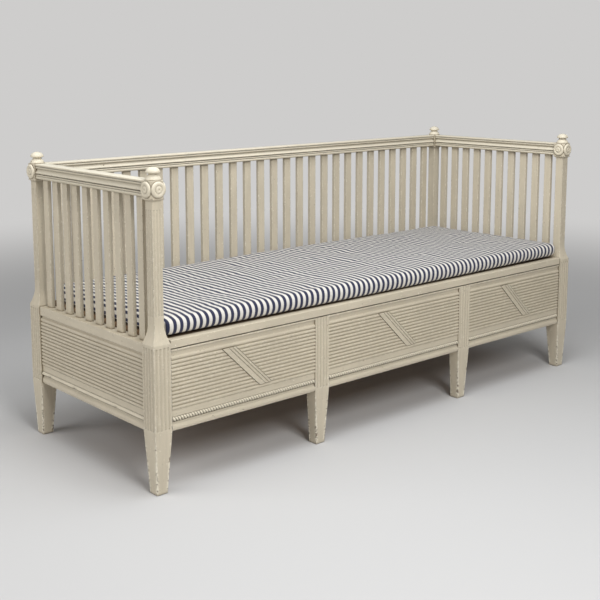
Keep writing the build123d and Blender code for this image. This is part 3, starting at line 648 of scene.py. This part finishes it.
# %% A row of strands in each bay, between the posts and the two middle legs
rope_low, rope_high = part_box("rope_mouldings")
left_leg, right_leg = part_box("middle_leg_left"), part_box("middle_leg_right")
bays = [
    (rope_low[0], left_leg[0][0]), (left_leg[1][0], right_leg[0][0]), (right_leg[1][0], rope_high[0]),
]
strand_pitch, margin = 9.6 * mm, 7 * mm
rope_y, rope_z = -355.2 * mm, 217.2 * mm
strands = []
for start, stop in bays:
    room = stop - start - 2 * margin
    count = int(room / strand_pitch)
    for n in range(count + 1):
        strands.append(Matrix.Translation((start + margin + room * n / count, rope_y, rope_z)))
rope = set_out(strand, strands, "rope_strands")
rope.data.materials.append(rubbed_paint)
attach(rope, "pull_out_bed")

# %% [markdown]
# ## The mattress
#
# A loose seat mattress is a bag of ticking stuffed with wool. The stuffing pushes the cloth out until it
# is tight, so its edges are round, its top is slightly crowned and its underside is flat where it rests
# on the lid. A rounded block would look like a plank. Blender's cloth does the pushing instead: a block
# that is a little too small is remeshed into even cells and blown up by a little pressure, and no point
# may move far. Soft dents and creases are added after that.

# %% A block a little smaller than the mattress, with round edges
low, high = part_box("mattress")
lid_top = low[2]
bpy.ops.mesh.primitive_cube_add(size=1)
mattress = open_new("mattress_cover")
slack = (12 * mm, 10 * mm, 8 * mm)
top_round, under_round, corner_round = 17 * mm, 25 * mm, 10 * mm
size = [top - bottom - less for bottom, top, less in zip(low, high, slack)]
middle = [(low[0] + high[0]) / 2, (low[1] + high[1]) / 2, lid_top + slack[2] / 2 + size[2] / 2]
bpy.ops.transform.resize(value=size, center_override=(0, 0, 0))
bpy.ops.transform.translate(value=middle)
bpy.ops.mesh.select_mode(type="EDGE")
choose_edges(mattress, lambda a, b: abs(a.x - b.x) > 1 and a.z > middle[2])
bpy.ops.mesh.bevel(offset=top_round, segments=6, affect="EDGES")
choose_edges(mattress, lambda a, b: abs(a.x - b.x) > 1 and max(a.z, b.z) < lid_top + 5 * mm)
bpy.ops.mesh.bevel(offset=under_round, segments=6, affect="EDGES")
end_x = size[0] / 2 - 0.1 * mm
choose_edges(mattress, lambda a, b: min(abs(a.x), abs(b.x)) > end_x and a.x * b.x > 0)
bpy.ops.mesh.bevel(offset=corner_round, segments=3, affect="EDGES")
close(mattress, 60)

# %% Even cells
cells = mattress.modifiers.new("cells", "REMESH")
cells.mode = "VOXEL"
cells.voxel_size = 11.5 * mm
bpy.ops.object.modifier_apply(modifier="cells")
print("mattress", len(mattress.data.polygons), "cells")

# %% Stuffing: pressure blows the cover up
before = [v.co.copy() for v in mattress.data.vertices]
cloth = mattress.modifiers.new("stuffing", "CLOTH")
cloth.settings.effector_weights.gravity = 0
cloth.settings.use_pressure = True
cloth.settings.uniform_pressure_force = 0.3
cloth.settings.shrink_min = -0.02
cloth.settings.quality = 4
last_frame = 20
cloth.point_cache.frame_end = last_frame
for frame_number in range(1, last_frame + 1):
    bpy.context.scene.frame_set(frame_number)
bpy.ops.object.modifier_apply(modifier="stuffing")
furthest = 6 * mm
for vertex, start in zip(mattress.data.vertices, before):
    moved = vertex.co - start
    if moved.length > furthest:
        vertex.co = start + moved * (furthest / moved.length)
print("mattress top at", round(max(v.co.z for v in mattress.data.vertices) / mm), "mm")


# %% Soft dents, creases and a flat underside
def swells(place, along, across, layer):
    """Smooth noise from about -1 to 1 in plan, with its swells to the metre of X and of Y."""
    return noise.noise(Vector((place.x * along, place.y * across, layer)))


end, half_deep, mid_y = (high[0] - low[0]) / 2, (high[1] - low[1]) / 2, (high[1] + low[1]) / 2
dent_depth, crease_depth, crease_width = 2.2 * mm, 1.8 * mm, 0.1
for vertex in mattress.data.vertices:
    place = vertex.co
    on_top = ramp(place.z, lid_top + 20 * mm, lid_top + 50 * mm)
    inside = ramp(half_deep - abs(place.y - mid_y), 10 * mm, 80 * mm)
    broad = swells(place, 9, 4, 0) + 0.6 * swells(place, 17, 6, 9)
    dent = (0.3 + 1.5 * inside) * broad + 0.5 * swells(place, 16, 25, 4)
    slant = Vector((place.x * 5 + place.y * 4, place.y * 9 - place.x * 2, 7))
    crease = max(0, 1 - abs(noise.noise(slant)) / crease_width)
    place.z += on_top * (dent_depth * dent - crease_depth * crease)
    place.z = max(place.z, lid_top)
smooth = mattress.modifiers.new("smooth", "SUBSURF")
smooth.levels = smooth.render_levels = 1
bpy.ops.object.modifier_apply(modifier="smooth")
bpy.ops.object.shade_smooth()
print("mattress", len(mattress.data.polygons), "faces")

# %% The stripes' own coordinate: along the bench, round the ends, and wandering a little on top
turn_in = 14 * mm
stripes = []
for vertex in mattress.data.vertices:
    place = vertex.co
    wander = 11 * mm * swells(place, 2.2, 3, 1) + 5 * mm * swells(place, 8, 9, 2)
    on_top = ramp(place.z, lid_top + 35 * mm, lid_top + 55 * mm)
    over = ramp(abs(place.x), end - turn_in, end) ** 2
    over *= ramp(half_deep - abs(place.y - mid_y), 14 * mm, 26 * mm)
    drop = high[2] - place.z
    side = 1 if place.x > 0 else -1
    stripes.append(place.x + side * over * drop + on_top * wander)
across = mattress.data.attributes.new("across", "FLOAT", "POINT")
across.data.foreach_set("value", stripes)

# %% Cover the mattress
mattress.data.materials.clear()
mattress.data.materials.append(ticking)
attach(mattress, "mattress")
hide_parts("mattress")
print("mattress cover has about", round((high[0] - low[0]) / stripe_period), "navy stripes")

# %% [markdown]
# ## The room
#
# A plain pale floor that fades into an even backdrop of the same tone, so no horizon shows from any side.
# A curved sheet of paper would do this for one camera only. Here the fade is only what the camera sees:
# for the light on the bench the floor is plain matt grey. Near the bench it is real and keeps its shadow.

# %% The floor and its finish
bpy.ops.mesh.primitive_plane_add(size=60, location=(0, 0, 0))
floor = bpy.context.object
floor.name = "floor"
backdrop = colour(206, 205, 204)
floor_finish, tree, shader = material("pale_floor")
shader.inputs["Base Color"].default_value = colour(204, 203, 202)
shader.inputs["Roughness"].default_value = 0.95
shader.inputs["Specular IOR Level"].default_value = 0.1
place = add(tree, "TexCoord").outputs["Object"]
away = add(tree, "VectorMath", {0: place}, operation="LENGTH").outputs["Value"]
real_within, faded_beyond = 1.6, 5.0
far = spread(tree, away, real_within, faded_beyond, interpolation_type="SMOOTHSTEP")
seen = add(tree, "LightPath").outputs["Is Camera Ray"]
fade = maths(tree, "MULTIPLY", far, seen)
glow = add(tree, "Emission", {"Color": backdrop, "Strength": 1.0})
blended = add(tree, "MixShader", {0: fade, 1: shader.outputs[0], 2: glow.outputs[0]})
tree.links.new(blended.outputs[0], tree.nodes["Material Output"].inputs["Surface"])
floor.data.materials.append(floor_finish)
print("floor fades from", real_within, "to", faded_beyond, "m")

# %% [markdown]
# ## The light
#
# Old paint looks best in soft light from one side, which models the reeds and mouldings. A single window
# would leave the other side black, so a large lamp in front on the left does most of the work, a cool one
# above opens the seat, a weak one fills the left end, and an even grey sky keeps every shadow open.


# %% Lamps
def soft_lamp(name, place, target, size, power, tint=(1, 1, 1)):
    """A square area lamp at a place, facing a target."""
    lamp_data = bpy.data.lights.new(name, "AREA")
    lamp_data.size = size
    lamp_data.energy = power
    lamp_data.color = tint
    lamp = bpy.data.objects.new(name, lamp_data)
    bpy.context.scene.collection.objects.link(lamp)
    lamp.location = place
    lamp.rotation_euler = (Vector(target) - Vector(place)).to_track_quat("-Z", "Y").to_euler()


soft_lamp("key", (-1.3, -3.2, 2.6), (-0.4, 0.0, 0.4), 1.4, 80)
soft_lamp("top", (-0.5, -0.8, 3.0), (0.0, -0.1, 0.4), 1.6, 50, (0.94, 0.97, 1.0))
soft_lamp("left_fill", (-3.4, 0.7, 1.6), (-0.9, 0.0, 0.5), 2.0, 36)
print("lamps", [lamp.name for lamp in bpy.data.lights])

# %% The sky: even grey light, and the backdrop's tone to the camera
world = bpy.data.worlds.new("studio")
bpy.context.scene.world = world
world.use_nodes = True
tree = world.node_tree
ambient = tree.nodes["Background"]
ambient.inputs["Color"].default_value = (1, 1, 1, 1)
ambient.inputs["Strength"].default_value = 0.22
behind = add(tree, "Background", {"Color": backdrop, "Strength": 1.0})
seen = add(tree, "LightPath").outputs["Is Camera Ray"]
sky = add(tree, "MixShader", {0: seen, 1: ambient.outputs[0], 2: behind.outputs[0]})
tree.links.new(sky.outputs[0], tree.nodes["World Output"].inputs["Surface"])
bpy.context.scene.view_settings.view_transform = "Standard"
